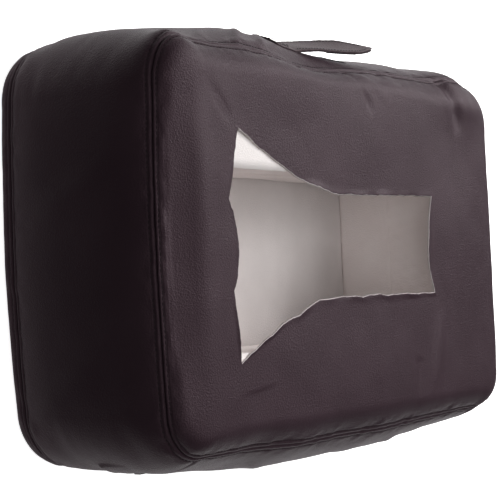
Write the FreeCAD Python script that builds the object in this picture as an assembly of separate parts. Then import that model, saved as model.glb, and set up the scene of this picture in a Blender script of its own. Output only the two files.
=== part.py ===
"""Face cradle cushion: a foam block in a sewn leather-look cover, with a trumpet-shaped face opening.

Frame, in millimetres: the cushion lies flat, as in use. The origin is the middle of its underside.
+Z points up, out of the face opening. +X runs from the opening's wide end (forehead) to its
narrow end (neck). +Y is the side that carries the strap, and -Y is the side with the zip.
"""
import FreeCAD, Part
import math
import os

# Overall cushion
LENGTH = 490.0          # along X, over the crowned ends
HEIGHT = 150.0          # along Z, three foam layers and the cover
STRAP_SIDE_Y = 157.0    # +Y side, at the top of its crown
ZIP_SIDE_Y = -155.0     # -Y side, which the zip keeps straight
CORNER_RADIUS = 46.0    # plan corners
END_CROWN = 4.0         # how far each end bows out between its corners
SIDE_CROWN = 8.0        # how far the strap side bows out between its corners
EDGE_ROLL = 30.0        # how far the rounded top and bottom edges reach inward
ROLL_POWER = 2.45       # superellipse power of the rounded edges
ROLL_STEPS = 12         # sections between the underside and the top
WALL = 1.2              # leather cloth with its knitted backing

# Seams, as heights above the underside
FRONT_SEAM_Z = HEIGHT - 13.0
BACK_SEAM_Z = 14.0
TOPSTITCH_OFFSET = 3.6  # each row of topstitching to its seam
THREAD = 0.6            # width of a stitched line
THREAD_PROUD = 0.3

# Foam
LAYER_COUNT = 3
LAYER = (HEIGHT - 2 * WALL) / LAYER_COUNT
CHAMBER_X = (-175.0, 130.0)
CHAMBER_HALF_WIDTH = 58.0
CHAMBER_CORNER = 4.0

# Face opening in the front panel
WIDE_END_X = -163.0
WIDE_HALF = 80.0
FLARE_X = -96.0         # where the flare starts to curve into the parallel part
FLARE_HALF = 53.0
NECK_MIDDLE = (-63.0, 44.0)
NECK_X = -22.0          # where the parallel part begins
NARROW_HALF = 40.0
NARROW_END_X = 120.0
NARROW_END_BOW = 10.0   # how far the narrow end bows into the opening
NOTCH_X = -171.0        # the two shallow notches in the wide end
NOTCH_HALF = 32.0
NOTCH_BOW = 4.0

# Zip, in the middle of the -Y side
ZIP_Z = HEIGHT / 2
ZIP_HALF_LENGTH = 190.0
ZIP_WINDOW_HALF = 4.5   # half the gap between the two zip bands
ZIP_BAND_HALF_LENGTH = ZIP_HALF_LENGTH + 10.0
ZIP_BAND_STITCH = 8.0   # rows of stitching beside the zip, from its middle
ZIP_RECESS = 0.6        # from the bands' inner face to the tapes
TAPE_HEIGHT = 13.0
TAPE_THICKNESS = 0.7
CHAIN_HALF = 2.6        # half height of the closed teeth
CHAIN_DEPTH = 2.0
TOOTH_PITCH = 2.5
TOOTH_REACH = 0.5       # how far each tooth passes the middle
TOOTH_ROOT = 0.7
TOOTH_GAP = 0.12
STOP_LENGTH = 3.0
SLIDER_X = ZIP_HALF_LENGTH - 9.0    # middle of the slider when the zip is closed
SLIDER_LENGTH = 11.0
SLIDER_HALF_HEIGHT = 4.0
SLIDER_PLATE = 1.2
SLIDER_CLEARANCE = 0.35
BAIL_REACH = 3.0        # each of the bail's posts, from the pull's pivot
BAIL_ROOM = 1.0         # from the pull's pivot out to the bail's bridge
BAIL_BAR = 1.0
BAIL_HALF_HEIGHT = 0.8
PULL_STANDOFF = 1.5     # the pull's pivot, out from the slider's face
PULL_LENGTH = 30.0
PULL_HALF_WIDTH = 3.5
PULL_THICKNESS = 1.2
PULL_WINDOW = 5.5       # length of the gap that the bail passes through
PULL_WINDOW_HALF = 1.3

# Strap, sewn to the +Y side near its front seam
STRAP_Z = 108.0
STRAP_HALF_HEIGHT = 15.0
STRAP_ROOT_X = (-62.0, -36.0)       # the sewn patch
STRAP_FREE_LENGTH = 108.0
STRAP_POINT = 20.0                  # length of the pointed tip
STRAP_LAYER = 1.3
STRAP_ANGLE = 6.0                   # how far the free length stands off the side at rest, degrees
STRAP_GAP = 0.4                     # from the side to the free length
STRAP_STITCH_INSET = 3.0
FOLD_GAP = 0.3                      # from each edge at the fold to the fold's axis
PATCH_FROM_FOLD = 46.0
PATCH_LENGTH = 34.0
PATCH_HALF_HEIGHT = 11.0
HOOK_THICKNESS = 1.2
LOOP_THICKNESS = 0.8

REACH = LENGTH                      # larger than the cushion in every direction
TINY = 0.01


def vector(point):
    return FreeCAD.Vector(*point)


def line(start, end):
    return Part.LineSegment(vector(start), vector(end)).toShape()


def arc(start, middle, end):
    return Part.Arc(vector(start), vector(middle), vector(end)).toShape()


def box(x, y, z):
    """A box from a (low, high) pair along each axis."""
    return Part.makeBox(x[1] - x[0], y[1] - y[0], z[1] - z[0], vector((x[0], y[0], z[0])))


def between(low, high):
    """All the space between two heights."""
    return box((-REACH, REACH), (-REACH, REACH), (low, high))


def prism_along_y(points, low, high):
    """A polygon given in X and Z, pushed from one y to another."""
    corners = [vector((x, low, z)) for x, z in points]
    face = Part.Face(Part.makePolygon(corners + corners[:1]))
    return face.extrude(vector((0, high - low, 0)))


def edges_along(solid, axis):
    """The straight edges of a box that run along one axis, given as 0, 1 or 2."""
    found = []
    for edge in solid.Edges:
        start, end = (vertex.Point for vertex in edge.Vertexes)
        if abs(start[axis] - end[axis]) > TINY:
            found.append(edge)
    return found


def rounded_box(x, y, z, axis, radius):
    """A box with the edges along one axis rounded."""
    solid = box(x, y, z)
    return solid.makeFillet(radius, edges_along(solid, axis))


# The cushion's outer form

def roll_inset(height, half_height):
    """How far the rounded side is in from its widest line, at a height from the middle."""
    share = min(abs(height) / half_height, 1.0)
    return EDGE_ROLL * (1 - (1 - share ** ROLL_POWER) ** (1 / ROLL_POWER))


def roll_heights(half_height):
    """Heights of the sections, crowded towards the underside and the top where the side turns in."""
    for step in range(ROLL_STEPS + 1):
        turn = math.pi * (step / ROLL_STEPS - 0.5)
        yield half_height * math.copysign(abs(math.sin(turn)) ** (2 / ROLL_POWER), turn)


def outline(inset, z):
    """The plan outline at height z, moved in by inset: a rounded rectangle with bowed sides."""
    end = LENGTH / 2 - END_CROWN - inset
    top = STRAP_SIDE_Y - SIDE_CROWN - inset
    low = ZIP_SIDE_Y + inset
    radius = CORNER_RADIUS - 0.5 * inset
    cut = radius * (1 - math.sqrt(0.5))
    return Part.Wire([
        arc((end, low + radius, z), (end + END_CROWN, 0, z), (end, top - radius, z)),
        arc((end, top - radius, z), (end - cut, top - cut, z), (end - radius, top, z)),
        arc((end - radius, top, z), (0, top + SIDE_CROWN, z), (radius - end, top, z)),
        arc((radius - end, top, z), (cut - end, top - cut, z), (-end, top - radius, z)),
        arc((-end, top - radius, z), (-end - END_CROWN, 0, z), (-end, low + radius, z)),
        arc((-end, low + radius, z), (cut - end, low + cut, z), (radius - end, low, z)),
        line((radius - end, low, z), (end - radius, low, z)),
        arc((end - radius, low, z), (end - cut, low + cut, z), (end, low + radius, z)),
    ])


def block(shrink):
    """The whole cushion's form, moved in by shrink all round, with a flat underside and top."""
    half = HEIGHT / 2 - shrink
    sections = [
        outline(shrink + roll_inset(height, half), HEIGHT / 2 + height)
        for height in roll_heights(half)
    ]
    loft = Part.makeLoft(sections, True, False)
    return loft.common(between(shrink, HEIGHT - shrink))


# Foam

def chamber_cutter(low, high):
    half = CHAMBER_HALF_WIDTH
    return rounded_box(CHAMBER_X, (-half, half), (low, high), 2, CHAMBER_CORNER)


def zip_plane_y():
    """The tapes' outer face, which the teeth sit on."""
    return ZIP_SIDE_Y + WALL + ZIP_RECESS


def zip_pocket():
    """The room that the zip's tapes take up behind the cover."""
    reach = TAPE_HEIGHT + TOOTH_GAP
    return box((-ZIP_BAND_HALF_LENGTH, ZIP_BAND_HALF_LENGTH),
               (ZIP_SIDE_Y, zip_plane_y() + TAPE_THICKNESS), (ZIP_Z - reach, ZIP_Z + reach))


def make_foam(core):
    """Three glued layers. The chamber goes through the upper two."""
    joints = [WALL + LAYER * count for count in range(LAYER_COUNT + 1)]
    core = core.cut(zip_pocket())
    chamber = chamber_cutter(joints[1], HEIGHT)
    return {
        "foam_base_layer": core.common(between(joints[0] - 1, joints[1])),
        "foam_middle_layer": core.common(between(joints[1], joints[2])).cut(chamber),
        "foam_front_layer": core.common(between(joints[2], joints[3] + 1)).cut(chamber),
    }


# Cover

def opening_cutter(z):
    """The face opening's trumpet outline, from height z to above the cushion."""
    neck_x, neck_half = NECK_MIDDLE
    upper = [
        line((WIDE_END_X, WIDE_HALF, z), (FLARE_X, FLARE_HALF, z)),
        arc((FLARE_X, FLARE_HALF, z), (neck_x, neck_half, z), (NECK_X, NARROW_HALF, z)),
        line((NECK_X, NARROW_HALF, z), (NARROW_END_X, NARROW_HALF, z)),
    ]
    narrow_end = arc((NARROW_END_X, NARROW_HALF, z), (NARROW_END_X - NARROW_END_BOW, 0, z),
                     (NARROW_END_X, -NARROW_HALF, z))
    lower = [
        line((NARROW_END_X, -NARROW_HALF, z), (NECK_X, -NARROW_HALF, z)),
        arc((NECK_X, -NARROW_HALF, z), (neck_x, -neck_half, z), (FLARE_X, -FLARE_HALF, z)),
        line((FLARE_X, -FLARE_HALF, z), (WIDE_END_X, -WIDE_HALF, z)),
    ]
    wide_end = [
        line((WIDE_END_X, -WIDE_HALF, z), (NOTCH_X, -NOTCH_HALF, z)),
        arc((NOTCH_X, -NOTCH_HALF, z), (NOTCH_X + NOTCH_BOW, 0, z), (NOTCH_X, NOTCH_HALF, z)),
        line((NOTCH_X, NOTCH_HALF, z), (WIDE_END_X, WIDE_HALF, z)),
    ]
    face = Part.Face(Part.Wire(upper + [narrow_end] + lower + wide_end))
    return face.extrude(vector((0, 0, HEIGHT + 1 - z)))


def zip_side_zone():
    """The stretch of the -Y side that the two zip bands cover."""
    return box((-ZIP_BAND_HALF_LENGTH, ZIP_BAND_HALF_LENGTH), (ZIP_SIDE_Y - 20, ZIP_SIDE_Y + 20),
               (0, HEIGHT))


def make_cover(shell):
    """The sewn cover: front panel, back panel, plain boxing and a band on each side of the zip."""
    boxing = shell.common(between(BACK_SEAM_Z, FRONT_SEAM_Z))
    bands = boxing.common(zip_side_zone())
    front = shell.common(between(FRONT_SEAM_Z, HEIGHT + 1))
    return {
        "cover_front_panel": front.cut(opening_cutter(FRONT_SEAM_Z)),
        "cover_back_panel": shell.common(between(-1, BACK_SEAM_Z)),
        "cover_boxing": boxing.cut(zip_side_zone()),
        "cover_zip_band_upper": bands.common(between(ZIP_Z + ZIP_WINDOW_HALF, HEIGHT)),
        "cover_zip_band_lower": bands.common(between(0, ZIP_Z - ZIP_WINDOW_HALF)),
    }


def stitch_rows(thread_skin, heights):
    """Stitched lines that run round the cushion at the given heights, as thin raised rings."""
    half = THREAD / 2
    return [thread_skin.common(between(height - half, height + half)) for height in heights]


def make_seam_stitching(thread_skin):
    """A row of topstitching on each side of every long seam, and rows beside the zip."""
    groups = {}
    for name, seam in (("front", FRONT_SEAM_Z), ("back", BACK_SEAM_Z)):
        rows = stitch_rows(thread_skin, (seam - TOPSTITCH_OFFSET, seam + TOPSTITCH_OFFSET))
        groups[f"{name}_seam_stitching"] = Part.makeCompound(rows)
    heights = (ZIP_Z - ZIP_BAND_STITCH, ZIP_Z + ZIP_BAND_STITCH)
    rows = [row.common(zip_side_zone()) for row in stitch_rows(thread_skin, heights)]
    groups["zip_band_stitching"] = Part.makeCompound(rows)
    return groups


# Zip

def comb(direction):
    """One row of zip teeth: a bar whose inner edge is a comb that meshes with the other row's."""
    slot = TOOTH_PITCH / 2
    width = slot - TOOTH_GAP
    first = TOOTH_GAP / 2 if direction > 0 else slot + TOOTH_GAP / 2
    points = [(-ZIP_HALF_LENGTH, TOOTH_ROOT)]
    for tooth in range(int(2 * ZIP_HALF_LENGTH / TOOTH_PITCH)):
        x = first + tooth * TOOTH_PITCH - ZIP_HALF_LENGTH
        points += [(x, TOOTH_ROOT), (x, -TOOTH_REACH), (x + width, -TOOTH_REACH),
                   (x + width, TOOTH_ROOT)]
    points += [(ZIP_HALF_LENGTH, TOOTH_ROOT), (ZIP_HALF_LENGTH, CHAIN_HALF),
               (-ZIP_HALF_LENGTH, CHAIN_HALF)]
    outline_points = [(x, ZIP_Z + direction * z) for x, z in points]
    return prism_along_y(outline_points, zip_plane_y() - CHAIN_DEPTH, zip_plane_y())


def make_zip():
    """Two tapes, two rows of teeth and a stop at each end."""
    front = zip_plane_y()
    tape_y = (front, front + TAPE_THICKNESS)
    tape_x = (-ZIP_BAND_HALF_LENGTH, ZIP_BAND_HALF_LENGTH)
    near = TOOTH_GAP / 2
    far = near + TAPE_HEIGHT
    stops = [
        box(sorted((side * ZIP_HALF_LENGTH, side * (ZIP_HALF_LENGTH + STOP_LENGTH))),
            (front - CHAIN_DEPTH, front), (ZIP_Z - CHAIN_HALF, ZIP_Z + CHAIN_HALF))
        for side in (-1, 1)
    ]
    return {
        "zip_tape_upper": box(tape_x, tape_y, (ZIP_Z + near, ZIP_Z + far)),
        "zip_tape_lower": box(tape_x, tape_y, (ZIP_Z - far, ZIP_Z - near)),
        "zip_teeth_upper": comb(1),
        "zip_teeth_lower": comb(-1),
        "zip_end_stops": Part.makeCompound(stops),
    }


def slider_face_y():
    """The slider's outer face."""
    return zip_plane_y() - CHAIN_DEPTH - SLIDER_CLEARANCE - SLIDER_PLATE


def make_slider():
    """A plate over the teeth, a flange down each side of them, and a bail for the pull."""
    face = slider_face_y()
    inside = face + SLIDER_PLATE
    x = (SLIDER_X - SLIDER_LENGTH / 2, SLIDER_X + SLIDER_LENGTH / 2)
    body = rounded_box(x, (face, inside), (ZIP_Z - SLIDER_HALF_HEIGHT, ZIP_Z + SLIDER_HALF_HEIGHT),
                       1, 1.6)
    flange_x = (x[0] + 2, x[1] - 2)
    flange_y = (inside, zip_plane_y() - SLIDER_CLEARANCE)
    for side in (-1, 1):
        height = sorted((ZIP_Z + side * (CHAIN_HALF + SLIDER_CLEARANCE),
                         ZIP_Z + side * SLIDER_HALF_HEIGHT))
        body = body.fuse(box(flange_x, flange_y, height))
    bail_z = (ZIP_Z - BAIL_HALF_HEIGHT, ZIP_Z + BAIL_HALF_HEIGHT)
    half = BAIL_REACH + BAIL_BAR / 2
    gap = BAIL_REACH - BAIL_BAR / 2
    out = face - PULL_STANDOFF - BAIL_ROOM - BAIL_BAR
    bail = rounded_box((SLIDER_X - half, SLIDER_X + half), (out, face + TINY), bail_z, 2, 0.4)
    hole = box((SLIDER_X - gap, SLIDER_X + gap), (out + BAIL_BAR, face), bail_z)
    return body.fuse(bail.cut(hole)).removeSplitter()


def make_pull():
    """A flat tab whose cross bar lies inside the bail, along the zip at rest."""
    pivot_y = slider_face_y() - PULL_STANDOFF
    y = (pivot_y - PULL_THICKNESS / 2, pivot_y + PULL_THICKNESS / 2)
    bar = PULL_THICKNESS / 2
    tab = rounded_box((SLIDER_X - PULL_LENGTH, SLIDER_X + bar), y,
                      (ZIP_Z - PULL_HALF_WIDTH, ZIP_Z + PULL_HALF_WIDTH), 1, bar - TINY)
    window = box((SLIDER_X - PULL_WINDOW, SLIDER_X - bar), y,
                 (ZIP_Z - PULL_WINDOW_HALF, ZIP_Z + PULL_WINDOW_HALF))
    return tab.cut(window)


# Strap

def strap_fold():
    """The fold's position and the lean of the side there, in degrees from upright."""
    rise = STRAP_Z - HEIGHT / 2
    fold_x = STRAP_ROOT_X[1] + FOLD_GAP
    chord = LENGTH / 2 - END_CROWN - CORNER_RADIUS
    side = STRAP_SIDE_Y - SIDE_CROWN * (fold_x / chord) ** 2 - roll_inset(rise, HEIGHT / 2)
    slope = roll_inset(rise + 0.5, HEIGHT / 2) - roll_inset(rise - 0.5, HEIGHT / 2)
    return vector((fold_x, side + STRAP_GAP + 2 * STRAP_LAYER, STRAP_Z)), math.degrees(math.atan(slope))


def place_strap(solid):
    """Move a free piece from the fold's own frame: x along the strap, y out of its leather face."""
    position, lean = strap_fold()
    stand_off = FreeCAD.Rotation(vector((0, 0, 1)), STRAP_ANGLE)
    upright = FreeCAD.Rotation(vector((1, 0, 0)), lean)
    return solid.transformed(FreeCAD.Placement(position, upright * stand_off).toMatrix())


def strap_outline(inset):
    """The free strap's outline in the fold's frame, with its pointed tip, moved in by inset."""
    start = FOLD_GAP + inset
    end = FOLD_GAP + STRAP_FREE_LENGTH - inset
    shoulder = FOLD_GAP + STRAP_FREE_LENGTH - STRAP_POINT
    half = STRAP_HALF_HEIGHT - inset
    return [(start, -half), (shoulder, -half), (end, 0), (shoulder, half), (start, half)]


def root_column(inset):
    """The column of space over the strap's sewn patch, moved in by inset."""
    x = (STRAP_ROOT_X[0] + inset, STRAP_ROOT_X[1] - inset)
    half = STRAP_HALF_HEIGHT - inset
    return box(x, (0, REACH), (STRAP_Z - half, STRAP_Z + half))


def make_strap_root(outer):
    """The strap's sewn end, two layers that follow the side, and its stitched square."""
    lining = block(-STRAP_LAYER)
    leather = block(-2 * STRAP_LAYER)
    thread = block(-2 * STRAP_LAYER - THREAD_PROUD)
    square = root_column(STRAP_STITCH_INSET).cut(root_column(STRAP_STITCH_INSET + THREAD))
    return {
        "strap_root_lining": lining.cut(outer).common(root_column(0)),
        "strap_root_leather": leather.cut(lining).common(root_column(0)),
        "strap_root_stitching": thread.cut(leather).common(square),
    }


def make_strap_free():
    """The strap's free length, two layers with stitching round them and a hook patch inside."""
    thread_out = prism_along_y(strap_outline(STRAP_STITCH_INSET), 0, THREAD_PROUD)
    thread_in = prism_along_y(strap_outline(STRAP_STITCH_INSET + THREAD), 0, THREAD_PROUD)
    hook_x = (PATCH_FROM_FOLD, PATCH_FROM_FOLD + PATCH_LENGTH)
    inner = -2 * STRAP_LAYER
    pieces = {
        "strap_leather": prism_along_y(strap_outline(0), -STRAP_LAYER, 0),
        "strap_lining": prism_along_y(strap_outline(0), inner, -STRAP_LAYER),
        "strap_stitching": thread_out.cut(thread_in),
        "strap_hook_patch": box(hook_x, (inner - HOOK_THICKNESS, inner),
                                (-PATCH_HALF_HEIGHT, PATCH_HALF_HEIGHT)),
    }
    return {name: place_strap(solid) for name, solid in pieces.items()}


def make_loop_patch(outer):
    """The loop patch on the side, under the strap's hook patch."""
    start = strap_fold()[0].x + PATCH_FROM_FOLD
    column = box((start, start + PATCH_LENGTH), (0, REACH),
                 (STRAP_Z - PATCH_HALF_HEIGHT, STRAP_Z + PATCH_HALF_HEIGHT))
    return block(-LOOP_THICKNESS).cut(outer).common(column)


def export(name, shape):
    """Write one node's STEP file, and print what it holds."""
    volume = sum(solid.Volume for solid in shape.Solids)
    print(f"{name}: {len(shape.Solids)} solid(s), {volume / 1000:.2f} cm3, valid {shape.isValid()}")
    shape.exportStep(f"parts/{name}.step")


def main():
    os.makedirs("parts", exist_ok=True)
    outer = block(0)
    inner = block(WALL)
    nodes = make_foam(inner)
    nodes.update(make_cover(outer.cut(inner)))
    nodes.update(make_seam_stitching(block(-THREAD_PROUD).cut(outer)))
    nodes.update(make_zip())
    nodes["zip_slider"] = make_slider()
    nodes["zip_pull"] = make_pull()
    nodes.update(make_strap_root(outer))
    nodes.update(make_strap_free())
    nodes["strap_loop_patch"] = make_loop_patch(outer)
    for name, shape in nodes.items():
        export(name, shape)
    print("strap fold, lean:", strap_fold())
    print("pull pivot y:", slider_face_y() - PULL_STANDOFF)


main()
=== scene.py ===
"""Looks of the face cradle cushion, in metres, in the CAD frame.

The cover is one grid of columns that run round the cushion and rows that run from the middle of
the underside, up the side and over the top to the face opening. It is inflated by cloth
simulation, then gets its folds and seams, and is cut into its sewn panels.
"""
import math

import bpy
import numpy as np
from mathutils import Matrix, Vector


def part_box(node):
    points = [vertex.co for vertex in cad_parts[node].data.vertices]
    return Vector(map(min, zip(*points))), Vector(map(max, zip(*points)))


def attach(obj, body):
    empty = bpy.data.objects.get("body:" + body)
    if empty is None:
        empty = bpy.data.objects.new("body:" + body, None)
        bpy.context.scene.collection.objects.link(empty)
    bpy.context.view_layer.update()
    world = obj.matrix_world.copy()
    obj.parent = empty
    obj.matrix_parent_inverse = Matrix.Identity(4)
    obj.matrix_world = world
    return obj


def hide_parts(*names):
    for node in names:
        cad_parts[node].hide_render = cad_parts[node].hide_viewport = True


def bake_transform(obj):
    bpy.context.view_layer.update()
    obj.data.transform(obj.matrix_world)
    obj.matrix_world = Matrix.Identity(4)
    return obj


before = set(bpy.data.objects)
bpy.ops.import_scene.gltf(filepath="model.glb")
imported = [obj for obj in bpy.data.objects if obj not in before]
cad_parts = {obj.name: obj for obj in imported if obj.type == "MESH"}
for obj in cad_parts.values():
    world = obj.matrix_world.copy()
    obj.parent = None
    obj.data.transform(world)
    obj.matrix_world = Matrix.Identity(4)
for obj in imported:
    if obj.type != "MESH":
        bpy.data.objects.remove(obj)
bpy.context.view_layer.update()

# Sizes taken over from the CAD parts
FRONT_LOW, FRONT_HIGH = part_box("cover_front_panel")
BOXING_LOW, BOXING_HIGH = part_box("cover_boxing")
BAND_LOW, BAND_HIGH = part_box("cover_zip_band_lower")
BASE_LOW, BASE_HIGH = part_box("foam_base_layer")
MIDDLE_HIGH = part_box("foam_middle_layer")[1]
ROOT_LOW, ROOT_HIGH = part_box("strap_root_leather")
ROOT_Z = 0.5 * (ROOT_LOW.z + ROOT_HIGH.z)
HEIGHT = FRONT_HIGH.z
FRONT_SEAM_Z = FRONT_LOW.z
BACK_SEAM_Z = BOXING_LOW.z
HALF_LENGTH = BOXING_HIGH.x
STRAP_SIDE = BOXING_HIGH.y
ZIP_SIDE = BAND_LOW.y
ZIP_HALF = BAND_HIGH.x
WINDOW_LOW = BAND_HIGH.z
WINDOW_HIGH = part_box("cover_zip_band_upper")[0].z

# Cushion
CORNER_RADIUS = 0.046
END_CROWN = 0.004
SIDE_CROWN = 0.008
EDGE_ROLL = 0.032
ROLL_POWER = 2.1            # of the long sides' upper edge; a higher power turns more tightly
END_ROLL_POWER = 4.5
REST_POWER = 7.0            # of the lower edge, pressed flat by what it lies on
WALL = 0.0012

# Face opening and the chamber in the foam
UPPER_EDGE = ((0.1165, 0.0430), (-0.021, 0.0395), (-0.049, 0.0420), (-0.083, 0.0485),
              (-0.096, 0.0535), (-0.123, 0.0643), (-0.160, 0.0800))
LOWER_EDGE = ((-0.167, -0.0808), (-0.124, -0.0602), (-0.091, -0.0492), (-0.061, -0.0410),
              (-0.028, -0.0393), (0.049, -0.0387), (0.1145, -0.0390))
WIDE_EDGE = ((-0.174, 0.031), (-0.1675, 0.016), (-0.1668, -0.018), (-0.173, -0.0315))
NARROW_BOW = 0.008
BACKING_SHOWS = 0.0009      # how far the knitted backing reaches past the cut leather
CHAMBER_X = (-0.175, 0.130)
CHAMBER_Y = (-0.0740, 0.0600)
SQUEEZE = 0.0070            # how far the strap side's wall leans in at its top
CHAMBER_CORNER = 0.004
FLOOR_GROOVE = 0.0014       # how far the walls are cut back where they meet the floor
JOINT_GROOVE = 0.0003       # and at the glue joint above it
GROOVE_HALF = 0.0012
FOAM_ROOM = 0.0075          # between the foam's outside and the cover
EXTRA_ROOM = 0.016          # and how much more there is at the top

# Seams and stitches
TOPSTITCH = 0.0040          # each row of topstitching to its seam
ZIP_STITCH = 0.0080         # each row of stitching to the middle of the zip
STITCH_PITCH = 0.0036
STITCH_LENGTH = 0.0029
THREAD_RADIUS = 0.00032

# Strap, measured from its sewn end
STRAP_LAYER = 0.0010
STRAP_HALF = 0.015
STRAP_ROOT = ROOT_HIGH.x - ROOT_LOW.x
STRAP_FREE = 0.1085
STRAP_LENGTH = STRAP_ROOT + STRAP_FREE
STRAP_POINT = 0.036
STRAP_RISE = 0.017          # how far the free end is above the sewn end
STRAP_STAND_OFF = 0.0075    # how far the free end stands off the sewn end's plane
STRAP_TWIST = math.radians(7)
STRAP_STITCH = 0.003        # each row of stitching to the strap's edge
STRAP_CUP = 0.0012          # how far the free end's long edges curl out
HOOK_START = STRAP_ROOT + 0.046
HOOK_LENGTH = 0.034
PATCH_HALF = 0.011
PATCH_THICKNESS = 0.0012

# The cover's grid
END_COLUMNS = 184
SIDE_COLUMNS = 288
COARSE = 4
ROW_BACK_SEAM = 3
ROW_FRONT_SEAM = 23
ROW_TOP = 27
ROW_EDGE = 43
ROW_CENTRE = -4

# Cloth simulation, and the most that it may move a point
SLACK = 0.006               # part by which the fabric is longer than its outline
PRESSURE = 4
LAST_FRAME = 20
MOST_OUT = 0.0035
MOST_IN = 0.0010
MOST_SIDEWAYS = 0.003
SHARE_ON_TOP = 0.1

# Camera, and the lights as (place, size, power), all aimed at the middle of the cushion
CAMERA_PLACE = (-0.9803, -0.0398, 0.7317)
CAMERA_FORWARD = (0.818, 0.0357, -0.5741)
CAMERA_RIGHT = (0.5752, -0.0463, 0.8167)
CAMERA_LENS = 105.7
LIGHTS = {
    "key": ((1.5, 0.95, 1.4), 1.2, 38),
    "top": ((0.7, 0.1, 2.0), 1.2, 12),
    "fill": ((-1.0, -0.2, 1.9), 1.4, 9),
}
LIGHT_TARGET = (0, 0, 0.1)
FLOOR_REACH = 6.0
FLOOR_MARGIN = 0.030        # from the cushion's near end to the floor's edge


# Small helpers

def waves(points, size, seed, count=20):
    """Smooth seeded noise of about unit strength, with features of one size."""
    rng = np.random.default_rng(seed)
    directions = rng.normal(size=(count, 3))
    directions /= np.linalg.norm(directions, axis=1)[:, None]
    directions *= (2 * math.pi / size) * rng.uniform(0.6, 1.4, (count, 1))
    phases = rng.uniform(0, 2 * math.pi, count)
    return np.cos(points @ directions.T + phases).sum(-1) * math.sqrt(2 / count)


def bell(distance, width):
    return np.exp(-(distance / width) ** 2)


def unit(vectors):
    return vectors / np.maximum(np.linalg.norm(vectors, axis=-1, keepdims=True), 1e-12)


def grid_normals(grid, closed):
    """Normals of a (row, column) grid of points."""
    along_rows = np.gradient(grid, axis=0)
    if closed:
        along_columns = np.roll(grid, -1, axis=1) - np.roll(grid, 1, axis=1)
    else:
        along_columns = np.gradient(grid, axis=1)
    return unit(np.cross(along_columns, along_rows))


def catmull_rom(values, places, closed):
    """Values along the first axis, read smoothly at fractional places."""
    base = np.floor(places).astype(int)
    part = (places - base).reshape((-1,) + (1,) * (values.ndim - 1))
    samples = []
    for step in (-1, 0, 1, 2):
        index = base + step
        index = index % len(values) if closed else np.clip(index, 0, len(values) - 1)
        samples.append(values[index])
    a, b, c, d = samples
    return 0.5 * (2 * b + (c - a) * part + (2 * a - 5 * b + 4 * c - d) * part ** 2
                  + (3 * b - a - 3 * c + d) * part ** 3)


def new_object(name, vertices, faces, materials, face_materials=None, smooth=True):
    mesh = bpy.data.meshes.new(name)
    mesh.from_pydata([tuple(point) for point in vertices], [], faces)
    for material in materials:
        mesh.materials.append(material)
    if face_materials is not None:
        mesh.polygons.foreach_set("material_index", face_materials)
    mesh.polygons.foreach_set("use_smooth", [smooth] * len(mesh.polygons))
    mesh.update()
    obj = bpy.data.objects.new(name, mesh)
    bpy.context.scene.collection.objects.link(obj)
    return obj


def grid_faces(rows, columns, closed, offset=0):
    """Quads of a grid, wound so that they face along columns x rows."""
    faces = []
    for row in range(rows - 1):
        for column in range(columns if closed else columns - 1):
            after = (column + 1) % columns
            low = offset + row * columns
            high = low + columns
            faces.append((low + column, low + after, high + after, high + column))
    return faces


def sheet_object(name, outer, inner, closed, materials, raw_rows=()):
    """A sheet with thickness, from grids of its two faces. materials are the outside and the
    inside. Its border takes the outside's material, except on the raw rows."""
    rows, columns = outer.shape[:2]
    count = rows * columns
    front = grid_faces(rows, columns, closed)
    back = [tuple(reversed(face)) for face in grid_faces(rows, columns, closed, count)]
    border = []
    border_materials = []
    for row in (0, rows - 1):
        for column in range(columns if closed else columns - 1):
            a = row * columns + column
            b = row * columns + (column + 1) % columns
            face = (a + count, b + count, b, a)
            border.append(face if row == 0 else tuple(reversed(face)))
            border_materials.append(1 if row in raw_rows else 0)
    if not closed:
        for column in (0, columns - 1):
            for row in range(rows - 1):
                a = row * columns + column
                b = a + columns
                face = (a, b, b + count, a + count)
                border.append(face if column == 0 else tuple(reversed(face)))
                border_materials.append(0)
    vertices = np.concatenate([outer.reshape(-1, 3), inner.reshape(-1, 3)])
    indices = [0] * len(front) + [1] * len(back) + border_materials
    return new_object(name, vertices, front + back + border, materials, indices)


# Outlines round the cushion. Sides run anticlockwise: far end, strap side, near end, zip side.

def side_columns(coarse):
    step = COARSE if coarse else 1
    return [END_COLUMNS // step, SIDE_COLUMNS // step, END_COLUMNS // step, SIDE_COLUMNS // step]


def rounded_ring(low, high, radius, crowns, coarse=False):
    """A rounded rectangle with bowed sides. Each side runs from corner middle to corner middle."""
    corners = [(high[0] - radius, low[1] + radius), (high[0] - radius, high[1] - radius),
               (low[0] + radius, high[1] - radius), (low[0] + radius, low[1] + radius)]
    outward = [(1, 0), (0, 1), (-1, 0), (0, -1)]
    points = []
    for side, count in enumerate(side_columns(coarse)):
        start = np.array(corners[side])
        end = np.array(corners[(side + 1) % 4])
        normal = np.array(outward[side])
        tangent = (end - start) / np.linalg.norm(end - start)
        t = np.arange(count) / count
        bend = CORNER_SHARE[side % 2]
        middle = np.clip((t - bend) / (1 - 2 * bend), 0, 1)
        angle = (np.clip(t / bend - 1, -1, 0) + np.clip((t - 1) / bend + 1, 0, 1)) * math.pi / 4
        bow = crowns[side] * (1 - (2 * middle - 1) ** 2)
        turn = radius * np.cos(angle) + bow
        points.append(start + (end - start) * middle[:, None] + normal * turn[:, None]
                      + tangent * (radius * np.sin(angle))[:, None])
    return np.concatenate(points)


def corner_share(length):
    """The part of a side's length that each half corner takes."""
    arc = CORNER_RADIUS * math.pi / 4
    return arc / (length - 2 * CORNER_RADIUS + 2 * arc)


CORNER_SHARE = (corner_share(STRAP_SIDE - ZIP_SIDE), corner_share(2 * HALF_LENGTH))


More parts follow.
